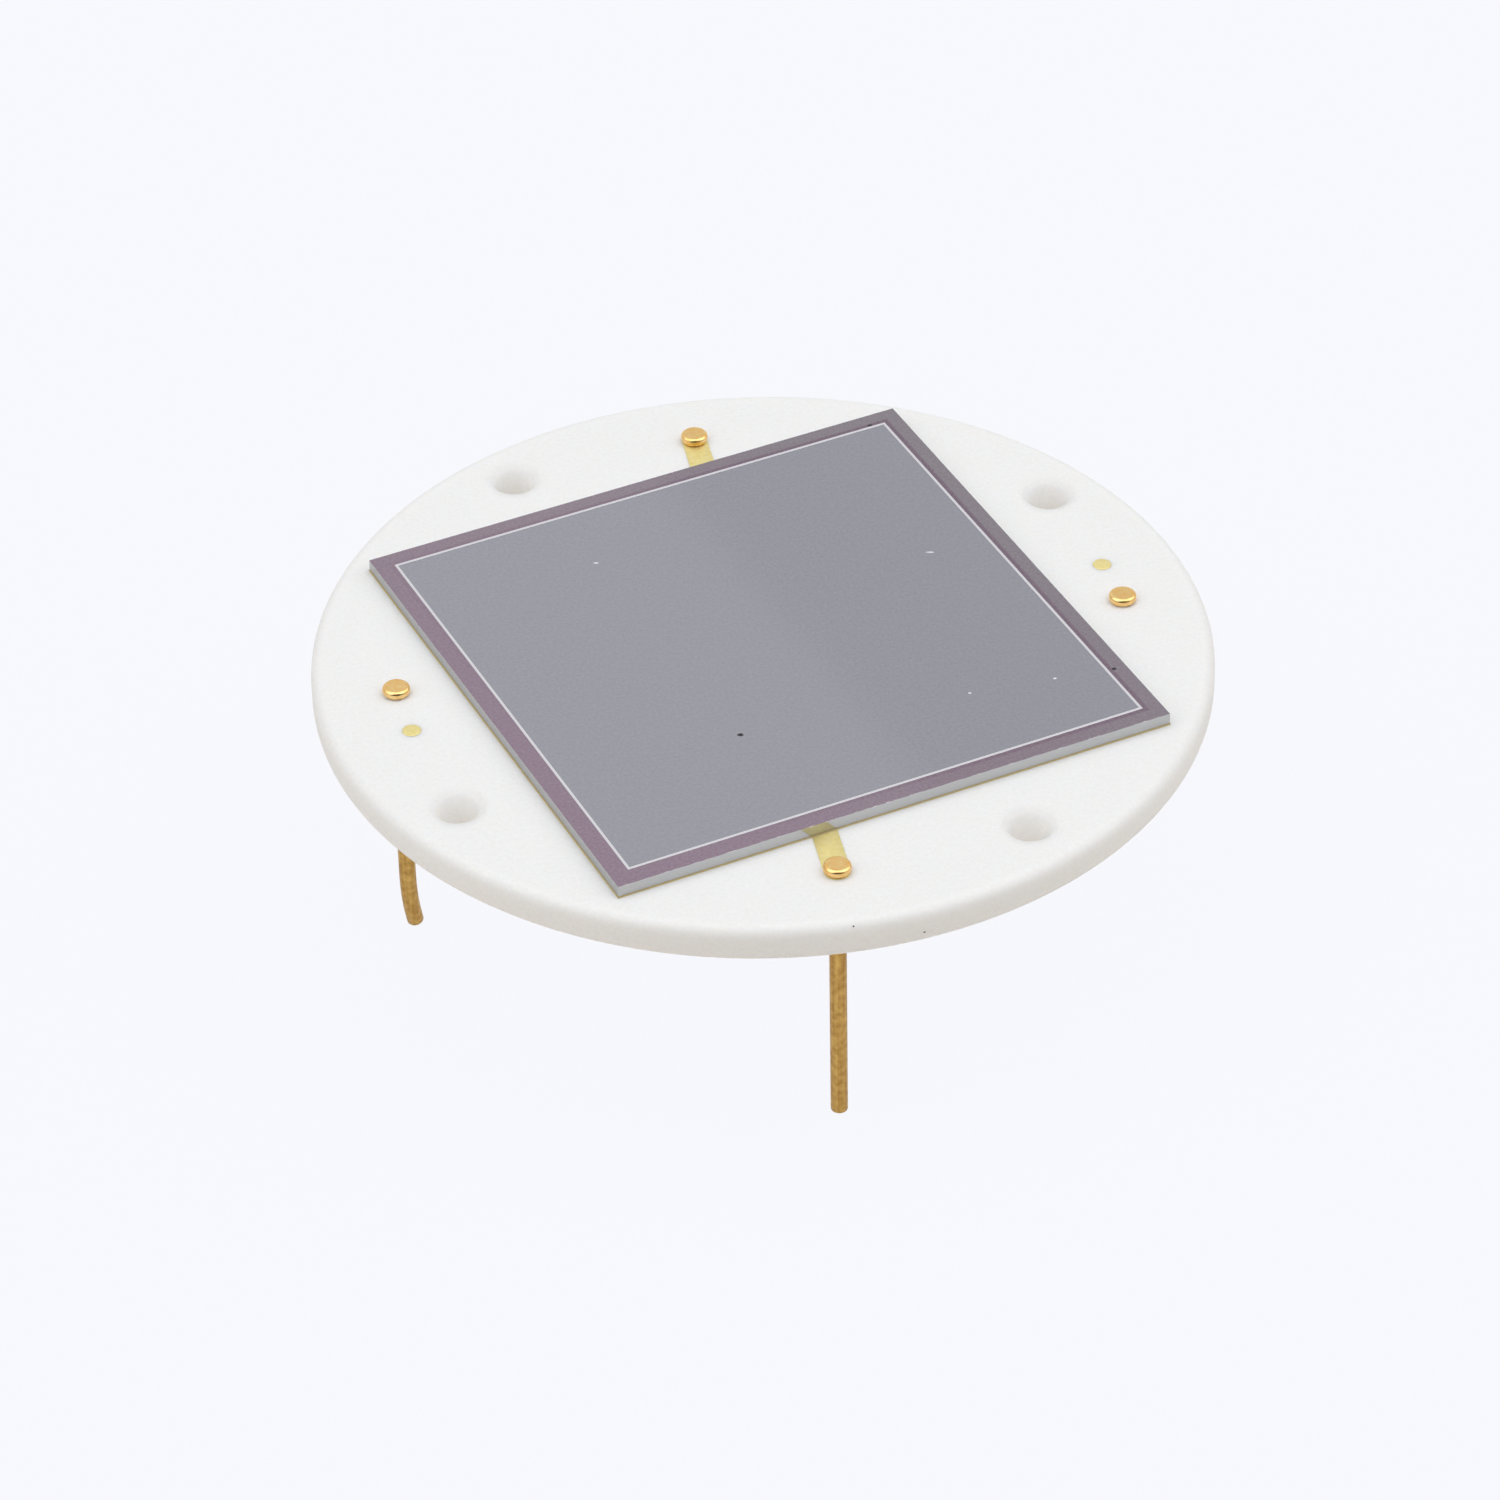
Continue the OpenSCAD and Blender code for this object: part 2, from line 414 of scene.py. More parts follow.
def grain(tree, place, size, detail=2.0, stretch=(1, 1, 1)):
    """A pattern of 0 to 1 with features about size metres across, longer where stretch is more than 1."""
    scale = [1 / (size * s) for s in stretch]
    spaced = add_node(tree, "ShaderNodeMapping", None, {"Vector": place, "Scale": scale}).outputs[0]
    cloud = add_node(tree, "ShaderNodeTexNoise", None,
                     {"Vector": spaced, "Scale": 1.0, "Detail": detail, "Roughness": 0.55}).outputs["Fac"]
    return add_node(tree, "ShaderNodeMapRange", None,
                    {"Value": cloud, "From Min": 0.3, "From Max": 0.7}).outputs[0]


def surface(tree, shader, pattern, tones, roughness, depth=0.0):
    """Lays a pattern of 0 to 1 on a shader: from one tone and roughness to the other, with relief if deep."""
    tint = add_node(tree, "ShaderNodeMix", COLOURS,
                    {SHARE: pattern, FROM: tones[0], TO: tones[1]}).outputs[MIXED]
    gloss = add_node(tree, "ShaderNodeMapRange", None,
                     {"Value": pattern, "To Min": roughness[0], "To Max": roughness[1]}).outputs[0]
    tree.links.new(tint, shader.inputs["Base Color"])
    tree.links.new(gloss, shader.inputs["Roughness"])
    if depth:
        bump = add_node(tree, "ShaderNodeBump", None, {"Distance": depth, "Height": pattern}).outputs[0]
        tree.links.new(bump, shader.inputs["Normal"])


def turned_offsets(tree, place, turn):
    """Distances from two planes through the part's axis, square to each other and turned about it."""
    turned = add_node(tree, "ShaderNodeMapping", None,
                      {"Vector": place, "Rotation": (0, 0, -turn)}).outputs[0]
    offsets = add_node(tree, "ShaderNodeVectorMath", {"operation": "ABSOLUTE"}, {0: turned}).outputs[0]
    return add_node(tree, "ShaderNodeSeparateXYZ", None, {0: offsets}).outputs[:2]


def chip_distance(tree, place, turn):
    """Distance from the middle of the chip, square to its nearest side: the larger of the two offsets."""
    x, y = turned_offsets(tree, place, turn)
    return add_node(tree, "ShaderNodeMath", {"operation": "MAXIMUM"}, {0: x, 1: y}).outputs[0]


def alumina(finish, base):
    """Alumina, as fired: a matt white ceramic, a little translucent, with a fine sintered grain. The real
    grain of a few micrometres is too fine to show, so it is drawn at 0.11 mm. Light carries further round the
    mounting holes, where it comes through from all sides."""
    material, tree, shader, place = new_material(
        "alumina as fired", IOR=1.76, Subsurface_Radius=(1.0, 0.94, 0.85))
    # The larger and the smaller offset fold the four holes into one
    x, y = turned_offsets(tree, place, base.hole_turn)
    far, near = [add_node(tree, "ShaderNodeMath", {"operation": choice}, {0: x, 1: y}).outputs[0]
                 for choice in ("MAXIMUM", "MINIMUM")]
    plan = add_node(tree, "ShaderNodeCombineXYZ", None, {0: far, 1: near}).outputs[0]
    apart = add_node(tree, "ShaderNodeVectorMath", {"operation": "DISTANCE"},
                     {0: plan, 1: (base.hole_circle, 0, 0)}).outputs["Value"]
    inner = base.hole_radius + 0.15 * MM
    outer = base.hole_radius + 0.5 * MM
    for socket, at_hole, elsewhere in (("Subsurface Weight", 1.0, 0.5),
                                       ("Subsurface Scale", 2.6 * MM, 0.3 * MM)):
        amount = add_node(tree, "ShaderNodeMapRange", None,
                          {"Value": apart, "From Min": inner, "From Max": outer,
                           "To Min": at_hole, "To Max": elsewhere}).outputs[0]
        tree.links.new(amount, shader.inputs[socket])
    surface(tree, shader, grain(tree, place, 0.11 * MM, detail=3.0), (finish.alumina, finish.alumina_deep),
            roughness=(0.5, 0.68), depth=0.0025 * MM)
    return material


def gold_print(finish, chip, film):
    """Thick-film gold, screen printed and fired: matt and pale, with the screen's faint mottling, and stained
    by the adhesive along the chip."""
    material, tree, shader, place = new_material("fired gold print", Metallic=0.65)
    pad_edge = chip.side / 2 + chip.bead + film.pad_rim
    stain = add_node(tree, "ShaderNodeMapRange", None,
                     {"Value": chip_distance(tree, place, chip.turn), "From Min": pad_edge + 0.02 * MM,
                      "From Max": pad_edge + 0.05 * MM, "To Min": 0.5, "To Max": 0.0}).outputs[0]
    tones = [add_node(tree, "ShaderNodeMix", COLOURS,
                      {SHARE: stain, FROM: tone, TO: finish.adhesive}).outputs[MIXED]
             for tone in (finish.gold_print, finish.gold_print_deep)]
    surface(tree, shader, grain(tree, place, 0.16 * MM, detail=3.0), tones,
            roughness=(0.42, 0.6), depth=0.0008 * MM)
    return material


def gold_plate(name, tones, roughness, streaks):
    """Gold plating on wire: a satin metal with a bloom in patches, and a share of streaks along the wire."""
    material, tree, shader, place = new_material(name, Metallic=1.0)
    bloom = grain(tree, place, 0.2 * MM, detail=3.0)
    drawn = grain(tree, place, 0.09 * MM, stretch=(1, 1, 40))
    wear = add_node(tree, "ShaderNodeMix", None, {"Factor": streaks, "A": bloom, "B": drawn}).outputs[0]
    surface(tree, shader, wear, tones, roughness, depth=0.0006 * MM)
    return material


def coated_silicon(finish, chip):
    """Polished silicon under thin films: glossy and smooth, grey over the active area, and round it an oxide
    that goes from mauve to a greyer tone as it thins from one side of the chip to the other, with a darker
    line beside the contact line where it is thin."""
    material, tree, shader, place = new_material("coated polished silicon", IOR=2.4)
    thick_side = direction(215, 0)
    reach = 8.0 * MM
    across = add_node(tree, "ShaderNodeVectorMath", {"operation": "DOT_PRODUCT"},
                      {0: place, 1: thick_side}).outputs["Value"]
    thick = add_node(tree, "ShaderNodeMapRange", None,
                     {"Value": across, "From Min": -reach, "From Max": reach}).outputs[0]
    line, border = [add_node(tree, "ShaderNodeMix", COLOURS,
                             {SHARE: thick, FROM: thin, TO: finish.border}).outputs[MIXED]
                    for thin in (finish.border_line, finish.border_thin)]
    distance = chip_distance(tree, place, chip.turn)
    line_edge = chip.side / 2 - chip.line_inset
    tone = finish.window
    # Where each tone begins and is full, outward from the outer edge of the contact line
    for outer_tone, begin, full in ((line, -0.05 * MM, -0.03 * MM), (border, 0.1 * MM, 0.17 * MM)):
        share = add_node(tree, "ShaderNodeMapRange", None,
                         {"Value": distance, "From Min": line_edge + begin,
                          "From Max": line_edge + full}).outputs[0]
        tone = add_node(tree, "ShaderNodeMix", COLOURS,
                        {SHARE: share, FROM: tone, TO: outer_tone}).outputs[MIXED]
    paler = add_node(tree, "ShaderNodeMix", COLOURS,
                     {SHARE: 0.07, FROM: tone, TO: finish.contact}).outputs[MIXED]
    surface(tree, shader, grain(tree, place, 0.09 * MM), (tone, paler), roughness=(0.03, 0.06))
    return material


def sawn_silicon(finish):
    """Silicon cut by a dicing saw: a grey half mirror drawn out into fine lines along the cut."""
    material, tree, shader, place = new_material("sawn silicon", IOR=5.0)
    marks = grain(tree, place, 0.03 * MM, detail=3.0, stretch=(25, 25, 1))
    surface(tree, shader, marks, (finish.sawn, finish.sawn_deep), roughness=(0.05, 0.14), depth=0.0003 * MM)
    return material


def evaporated_aluminium(finish):
    """Evaporated aluminium: a thin bright film with a faint grain."""
    material, tree, shader, place = new_material("evaporated aluminium", Metallic=1.0)
    surface(tree, shader, grain(tree, place, 0.05 * MM), (finish.contact, finish.contact_deep),
            roughness=(0.28, 0.42))
    return material


def adhesive(finish):
    """Cured die-attach adhesive: brown, satin, with small specks of filler."""
    material, tree, shader, place = new_material("cured adhesive", IOR=1.5)
    surface(tree, shader, grain(tree, place, 0.06 * MM, detail=3.0), (finish.adhesive, finish.filler),
            roughness=(0.3, 0.5), depth=0.0008 * MM)
    return material


def dust(name, tint):
    """Dust: a dry lump, matt and a little patchy."""
    material, tree, shader, place = new_material(name)
    darker = [0.8 * channel for channel in tint]
    surface(tree, shader, grain(tree, place, 0.04 * MM), (tint, darker), roughness=(0.6, 0.85))
    return material


# Pieces

class PHOTODIODE_OT_ceramic_base(bpy.types.Operator):
    """Builds the round ceramic base with its mounting holes and the holes of the pins and lands"""
    bl_idname = "photodiode.ceramic_base"
    bl_label = "Ceramic base"

    def execute(self, context):
        part = context.scene.photodiode
        sizes = part.base
        border = 0.012 * MM
        steps = 9
        axis = Vector((0, 0))
        rim = rounded(BASE_Z, TOP_Z, sizes.edge_radius, border, steps)
        mouth = rounded(BASE_Z, TOP_Z, sizes.mouth_radius, border, steps)
        plain = [(0, BASE_Z), (0, TOP_Z)]
        loops = [(circle(axis, sizes.radius, RIM_POINTS), rim)]
        holes = []
        for heading in (RIGHT, BACK, LEFT, FRONT):
            turn = math.radians(heading)
            holes.append((polar(sizes.hole_circle, turn + sizes.hole_turn), sizes.hole_radius, mouth))
            holes.append((polar(part.pins.circle, turn), part.pins.radius + part.pins.gap, plain))
        for heading in (LEFT, RIGHT):
            turn = math.radians(heading) + part.film.land_turn
            holes.append((polar(part.pins.circle, turn), part.film.land_radius, plain))
        for centre, radius, profile in holes:
            loops.append((circle(centre, radius, ROUND_POINTS, hole=True), profile))
        clear_of_rim = 0.5 * MM
        bm = bmesh.new()
        slab(bm, loops, self.spots(sizes.radius - clear_of_rim, holes))
        piece = new_piece("ceramic_base_fired", bm, [alumina(part.finishes, sizes)])
        seat(piece, "alumina", "ceramic_base")
        return {"FINISHED"}

    def spots(self, reach, holes):
        """Points that keep the triangles of the flat faces even, clear of the holes."""
        step = 0.7 * MM
        row_step = 0.866 * step
        clear = 0.35 * MM
        rows = int(reach / step) + 1
        found = []
        for row in range(-rows, rows + 1):
            for column in range(-rows, rows + 1):
                spot = Vector(((column + 0.5 * (row % 2)) * step, row * row_step))
                if spot.length < reach and all((spot - c).length > r + clear for c, r, _ in holes):
                    found.append(spot)
        return found


class PHOTODIODE_OT_gold_print(bpy.types.Operator):
    """Builds the fired gold pad with its tracks, and the two feed-throughs with their lands and straps"""
    bl_idname = "photodiode.gold_print"
    bl_label = "Gold print"

    def execute(self, context):
        part = context.scene.photodiode
        paste = gold_print(part.finishes, part.chip, part.film)
        soft = 0.006 * MM
        outline = divided(self.pad_outline(part), step=0.07 * MM)
        edge = wander(outline, size=0.25 * MM, reach=part.film.ragged, seed=1.0)
        film = [(edge, TOP_Z), (edge, PRINT_Z - soft), ([soft + e for e in edge], PRINT_Z)]
        wall = [(0, TOP_Z), (0, PRINT_Z - soft), (0, PRINT_Z)]
        bore = part.pins.radius + part.pins.gap
        loops = [(outline, film)]
        for heading in (FRONT, BACK):
            centre = polar(part.pins.circle, math.radians(heading))
            loops.append((circle(centre, bore, BORE_POINTS, hole=True), wall))
        bm = bmesh.new()
        slab(bm, loops)
        seat(new_piece("cathode_print_fired", bm, [paste], sharp=60), "fired_gold", "cathode_print")
        for heading, side in ((LEFT, "left"), (RIGHT, "right")):
            self.feedthrough(part, paste, heading, side)
        return {"FINISHED"}

    def pad_outline(self, part):
        """The pad below the chip in one outline with the tracks to the front and back pins."""
        half = part.chip.side / 2 + part.chip.bead + part.film.pad_rim
        corners = square(2 * half, part.chip.turn)
        wide = part.film.track_width / 2
        reach = part.pins.circle

        def meet(side, x):
            """Where a track's edge meets the side of the pad."""
            facing = part.chip.turn + math.radians(side)
            return Vector((x, (half - x * math.cos(facing)) / math.sin(facing)))

        back_end = arc(Vector((0, reach)), wide, 0, 180, count=20)
        front_end = arc(Vector((0, -reach)), wide, 180, 360, count=20)
        return [corners[0], meet(BACK, wide), *back_end, meet(BACK, -wide), corners[1], corners[2],
                meet(FRONT, -wide), *front_end, meet(FRONT, wide), corners[3]]

    def feedthrough(self, part, paste, heading, side):
        """A land that fills its hole, and the strap below the base from it to the collar of its pin."""
        land = part.film.land_radius
        collar = part.pins.collar_radius
        half = part.film.strap_width / 2
        turn = math.radians(heading)
        centre = polar(part.pins.circle, turn + part.film.land_turn)
        pin = polar(part.pins.circle, turn)
        way = pin - centre
        at_land = math.degrees(math.asin(half / land))
        at_pin = math.degrees(math.asin(half / collar))
        local = arc(Vector((0, 0)), land, at_land, 360 - at_land, count=40)
        local += arc(Vector((way.length, 0)), collar, 180 + at_pin, 540 - at_pin, count=56)
        spin = Matrix.Rotation(math.atan2(way.y, way.x), 2)
        outline = divided([centre + spin @ point for point in local], step=0.06 * MM)
        bore = circle(pin, part.pins.radius + part.pins.gap, BORE_POINTS, hole=True)
        soft = 0.006 * MM
        strap = [(soft, STRAP_Z), (0, STRAP_Z + soft), (0, BASE_Z)]
        bm = bmesh.new()
        slab(bm, [(outline, strap), (bore, [(0, STRAP_Z), (0, BASE_Z)])])
        ring = circle(centre, land, ROUND_POINTS)
        edge = wander(ring, size=0.12 * MM, reach=part.film.ragged, seed=heading)
        dome = [(0, BASE_Z), (0, TOP_Z)]
        for inset, z in ((0.0, TOP_Z + 0.008 * MM), (0.012 * MM, PRINT_Z - 0.003 * MM), (0.05 * MM, PRINT_Z)):
            dome.append(([e + inset for e in edge], z))
        slab(bm, [(ring, dome)])
        piece = new_piece("feedthrough_fired_" + side, bm, [paste], sharp=60)
        seat(piece, "fired_gold", "feedthrough_" + side)


class PHOTODIODE_OT_die_attach(bpy.types.Operator):
    """Builds the bed of adhesive with the uneven bead that climbs the walls of the chip"""
    bl_idname = "photodiode.die_attach"
    bl_label = "Die attach"

    def execute(self, context):
        part = context.scene.photodiode
        bead = part.chip.bead
        outline = divided(square(part.chip.side + 2 * bead, part.chip.turn), step=0.1 * MM)
        foot = wander(outline, size=0.6 * MM, reach=0.4 * bead, seed=3.0)
        rise = 0.999 * (BEAD_Z - PRINT_Z)
        hollow = 1.6
        profile = [(foot, PRINT_Z)]
        for share in (0.2, 0.45, 0.72, 1.0):
            inset = [f + (bead - f) * (1 - (1 - share) ** hollow) for f in foot]
            profile.append((inset, PRINT_Z + rise * share))
        profile.append((bead, CHIP_Z))
        bm = bmesh.new()
        slab(bm, [(outline, profile)])
        self.dip(bm)
        seat(new_piece("die_attach_cured", bm, [adhesive(part.finishes)], sharp=50), "adhesive", "die_attach")
        return {"FINISHED"}

    def dip(self, bm):
        """Lets the top of the bead run lower here and there, down the chip's wall."""
        deepest = 0.35
        patch = 0.9 * MM
        layer = 7.0 * MM
        for vert in bm.verts:
            height = vert.co.z - CHIP_Z
            if height > 0:
                share = deepest * (0.5 + 0.5 * noise.noise(Vector((*vert.co.xy, layer)) / patch))
                vert.co.z = CHIP_Z + height * (1 - share)


class PHOTODIODE_OT_silicon_chip(bpy.types.Operator):
    """Builds the square chip with its polished, coated face and its sawn walls"""
    bl_idname = "photodiode.silicon_chip"
    bl_label = "Silicon chip"

    def execute(self, context):
        part = context.scene.photodiode
        outline = divided(square(part.chip.side, part.chip.turn), step=0.08 * MM)
        draw = random.Random(15)
        smallest = 0.001 * MM
        drop = 0.003 * MM
        border = 0.01 * MM
        low, high = [[smallest + part.chip.nick * draw.random() ** 6 for _ in outline] for _ in range(2)]
        middle = CHIP_Z + 0.5 * (CHIP_TOP_Z - CHIP_Z)
        profile = [([n + border for n in low], CHIP_Z), (low, CHIP_Z), (0, CHIP_Z + drop), (0, middle),
                   (0, CHIP_TOP_Z - drop), (high, CHIP_TOP_Z), ([n + border for n in high], CHIP_TOP_Z)]
        step = 1.2 * MM
        count = int(part.chip.side / step) - 1
        turn = Matrix.Rotation(part.chip.turn, 2)
        spots = [turn @ Vector(((i - (count - 1) / 2) * step, (j - (count - 1) / 2) * step))
                 for i in range(count) for j in range(count)]
        bm = bmesh.new()
        slab(bm, [(outline, profile)], spots)
        bm.normal_update()
        for face in bm.faces:
            face.material_index = 0 if face.normal.z > 0.9 else 1
        finishes = [coated_silicon(part.finishes, part.chip), sawn_silicon(part.finishes)]
        piece = new_piece("silicon_chip_coated", bm, finishes, sharp=15)
        seat(piece, "silicon", "silicon_chip")
        return {"FINISHED"}


class PHOTODIODE_OT_contact_line(bpy.types.Operator):
    """Builds the fine metal line round the active area"""
    bl_idname = "photodiode.contact_line"
    bl_label = "Contact line"

    def execute(self, context):
        part = context.scene.photodiode
        outer = part.chip.side - 2 * part.chip.line_inset
        inner = outer - 2 * part.chip.line_width
        soft = 0.004 * MM
        step = 0.5 * MM
        profile = [(0, CHIP_TOP_Z), (0, LINE_Z - soft), (soft, LINE_Z)]
        bm = bmesh.new()
        slab(bm, [(divided(square(outer, part.chip.turn), step), profile),
                  (divided(square(inner, part.chip.turn, hole=True), step), profile)])
        piece = new_piece("contact_line_evaporated", bm, [evaporated_aluminium(part.finishes)], sharp=25)
        seat(piece, "contact_metal", "contact_ring")
        return {"FINISHED"}


class PHOTODIODE_OT_pins(bpy.types.Operator):
    """Builds the four headed pins, each turned from one profile and bent where the real one is"""
    bl_idname = "photodiode.pins"
    bl_label = "Headed pins"

    def execute(self, context):
        part = context.scene.photodiode
        finish = part.finishes
        head = gold_plate("gold plate on formed heads", (finish.gold_head, finish.gold_head_deep),
                          roughness=(0.15, 0.36), streaks=0.25)
        # The shanks take darker gold tones than the heads: painted shade from the base above them
        shank = gold_plate("gold plate on drawn shanks with painted shade", (finish.gold_shank_shaded, finish.gold_shank_shaded_deep),
                           roughness=(0.28, 0.44), streaks=0.4)
        tree = self.pin_tree()
        for heading, side in ((FRONT, "front"), (RIGHT, "right"), (BACK, "back"), (LEFT, "left")):
            place = (*polar(part.pins.circle, math.radians(heading)), 0.0)
            bent = heading == LEFT
            values = {"Place": place, "Bend Height": part.pins.bend_height if bent else 0.0,
                      "Bend Radius": self.bend_radius(part.pins), "Bend Heading": part.pins.bend_heading,
                      "Head Height": TOP_Z, "Head Finish": head, "Shank Finish": shank}
            piece = grow("headed_pin_" + side, tree, self.straight(part.pins, heading, side, bent), values)
            seat(piece, "gold_plate", "pin_" + side)
        return {"FINISHED"}

    def bend_radius(self, sizes):
        """Radius of the bent pin's axis, which brings its lowest point down to the floor."""
        return sizes.bend_height / math.sin(sizes.bend_angle) - sizes.radius

    def straight(self, sizes, heading, side, bent):
        """A pin before it is bent, with its axis at the origin. The front and back ones have their heads on
        the print and their collars on the bare base. The others have their heads on the bare base and their
        collars on the straps."""
        printed = heading in (FRONT, BACK)
        low = sizes.bend_height - self.bend_radius(sizes) * sizes.bend_angle if bent else 0.0
        foot, seat_z = (BASE_Z, PRINT_Z) if printed else (STRAP_Z, TOP_Z)
        profile = self.profile(sizes, low, foot, seat_z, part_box("pin_" + side)[1].z)
        bm = bmesh.new()
        ring = circle(Vector((0, 0)), sizes.head_radius, ROUND_POINTS)
        slab(bm, [(ring, [(sizes.head_radius - radius, z) for radius, z in profile])])
        mesh = bpy.data.meshes.new("straight_pin")
        bm.to_mesh(mesh)
        bm.free()
        return mesh

    def profile(self, sizes, low, foot, seat_z, top):
        """Half section of a pin from its tip up, as radius and height: shank, swaged collar, and head."""
        tip = 0.03 * MM
        soft = 0.03 * MM
        hold = 0.01 * MM
        shank, collar = sizes.radius, sizes.collar_radius
        start = foot - sizes.collar_height
        shoulder = start + sizes.collar_height / 2
        rows = 36
        points = [(shank - tip, low), (shank - 0.3 * tip, low + 0.3 * tip)]
        points += [(shank, low + tip + (start - low - tip) * i / rows) for i in range(rows + 1)]
        points += [(collar - 0.2 * soft, shoulder - soft), (collar, shoulder + soft), (collar, foot - soft),
                   (collar - soft, foot), (shank, foot), (shank, seat_z)]
        edge = sizes.head_edge
        inner = sizes.head_radius - edge
        count = 8
        turns = [math.pi / 2 * i / count for i in range(count + 1)]
        points += [(inner - hold, seat_z)]
        points += [(inner + edge * math.sin(t), seat_z + edge * (1 - math.cos(t))) for t in turns]
        points += [(inner + edge * math.cos(t), top - edge * (1 - math.sin(t))) for t in turns]
        return points + [(inner - hold, top)]

    def pin_tree(self):
        """Bends the foot of a straight pin along an arc, sets the pin in place and finishes its two parts."""
        tree, given = new_tree("headed pin", [
            ("Geometry", "Geometry"), ("Place", "Vector"), ("Bend Height", "Float"), ("Bend Radius", "Float"),
            ("Bend Heading", "Float"), ("Head Height", "Float"), ("Head Finish", "Material"),
            ("Shank Finish", "Material")])
        position = add_node(tree, "GeometryNodeInputPosition").outputs[0]
        x, y, z = add_node(tree, "ShaderNodeSeparateXYZ", None, {0: position}).outputs
        # Below the bend each section is lifted to where the bend begins, and turned about the arc's middle
        lifted = add_node(tree, "ShaderNodeMath", {"operation": "MAXIMUM"},
                          {0: z, 1: given["Bend Height"]}).outputs[0]
        below = add_node(tree, "ShaderNodeMath", {"operation": "SUBTRACT"}, {0: lifted, 1: z}).outputs[0]
        turned = add_node(tree, "ShaderNodeMath", {"operation": "DIVIDE"},
                          {0: below, 1: given["Bend Radius"]}).outputs[0]
        level = add_node(tree, "ShaderNodeCombineXYZ", None, {0: x, 1: y, 2: lifted}).outputs[0]
        middle = add_node(tree, "ShaderNodeCombineXYZ", None,
                          {0: given["Bend Radius"], 2: given["Bend Height"]}).outputs[0]
        bent = add_node(tree, "ShaderNodeVectorRotate", {"rotation_type": "AXIS_ANGLE"},
                        {"Vector": level, "Center": middle, "Axis": (0, -1, 0), "Angle": turned}).outputs[0]
        headed = add_node(tree, "ShaderNodeVectorRotate", {"rotation_type": "Z_AXIS"},
                          {"Vector": bent, "Angle": given["Bend Heading"]}).outputs[0]
        placed = add_node(tree, "ShaderNodeVectorMath", {"operation": "ADD"},
                          {0: headed, 1: given["Place"]}).outputs[0]
        shaped = add_node(tree, "GeometryNodeSetPosition", None,
                          {"Geometry": given["Geometry"], "Position": placed}).outputs[0]
        plated = add_node(tree, "GeometryNodeSetMaterial", None,
                          {"Geometry": shaped, "Material": given["Shank Finish"]}).outputs[0]
        above = add_node(tree, "FunctionNodeCompare", {"operation": "GREATER_THAN"},
                         {0: z, 1: given["Head Height"]}).outputs[0]
        close_tree(tree, plated, given["Head Finish"], above)
        return tree


class PHOTODIODE_OT_specks(bpy.types.Operator):
    """Builds the few specks of dust that lie on the chip and on the rim of the base"""
    bl_idname = "photodiode.specks"
    bl_label = "Specks of dust"

    # Where each speck lies on plan and how far below the chip's face, and its length, width and height, in mm
    PALE = (((-3.97, 4.43, 0), (0.15, 0.07, 0.013)), ((5.45, 2.93, 0), (0.22, 0.07, 0.013)),
            ((7.56, -3.69, 0), (0.1, 0.08, 0.012)), ((5.1, -3.85, 0), (0.09, 0.07, 0.012)))
    DARK = (((-1.48, -4.39, 0), (0.16, 0.13, 0.014)), ((9.27, -3.6, 0), (0.12, 0.11, 0.014)),
            ((5.1, 9.56, 0), (0.14, 0.09, 0.013)), ((-0.02, -12.62, 0.5), (0.045, 0.045, 0.045)),
            ((1.92, -12.55, 1.08), (0.08, 0.035, 0.035)))

    def execute(self, context):
        finish = context.scene.photodiode.finishes
        tree = self.speck_tree()
        for name, specks, tint, slot in (("dust_pale", self.PALE, finish.lint, "alumina"),
                                         ("dust_dark", self.DARK, finish.soot, "adhesive")):
            places = [(x * MM, y * MM, CHIP_TOP_Z - drop * MM) for (x, y, drop), _ in specks]
            mesh = bpy.data.meshes.new("speck_places")
            mesh.from_pydata(places, [], [])
            sizes = mesh.attributes.new("size", "FLOAT_VECTOR", "POINT")
            sizes.data.foreach_set("vector", [side * MM / 2 for _, size in specks for side in size])
            seat(grow(name, tree, mesh, {"Seed": 4, "Finish": dust(name.replace("_", ", "), tint)}), slot)
        return {"FINISHED"}

    def speck_tree(self):
        """A lumpy grain at each point, of the size that the point carries."""
        tree, given = new_tree("specks", [("Geometry", "Geometry"), ("Seed", "Int"), ("Finish", "Material")])
        ball = add_node(tree, "GeometryNodeMeshIcoSphere", None,
                        {"Radius": 1.0, "Subdivisions": 3}).outputs["Mesh"]
        lumps = add_node(tree, "ShaderNodeTexNoise", None, {"Scale": 1.3, "Detail": 1.0}).outputs["Color"]
        middle = (0.5, 0.5, 0.5)
        push = add_node(tree, "ShaderNodeVectorMath", {"operation": "SUBTRACT"},
                        {0: lumps, 1: middle}).outputs[0]
        lump = add_node(tree, "GeometryNodeSetPosition", None, {"Geometry": ball, "Offset": push}).outputs[0]
        size = add_node(tree, "GeometryNodeInputNamedAttribute", {"data_type": "FLOAT_VECTOR"},
                        {"Name": "size"}).outputs[0]
        most = 0.3
        turn = add_node(tree, "FunctionNodeRandomValue", {"data_type": "FLOAT_VECTOR"},
                        {"Min": (0, 0, -most), "Max": (0, 0, most), "Seed": given["Seed"]}).outputs[0]
        points = add_node(tree, "GeometryNodeMeshToPoints", None, {"Mesh": given["Geometry"]}).outputs[0]
        strewn = add_node(tree, "GeometryNodeInstanceOnPoints", None,
                          {"Points": points, "Instance": lump, "Rotation": turn, "Scale": size}).outputs[0]
        close_tree(tree, strewn, given["Finish"])
        return tree


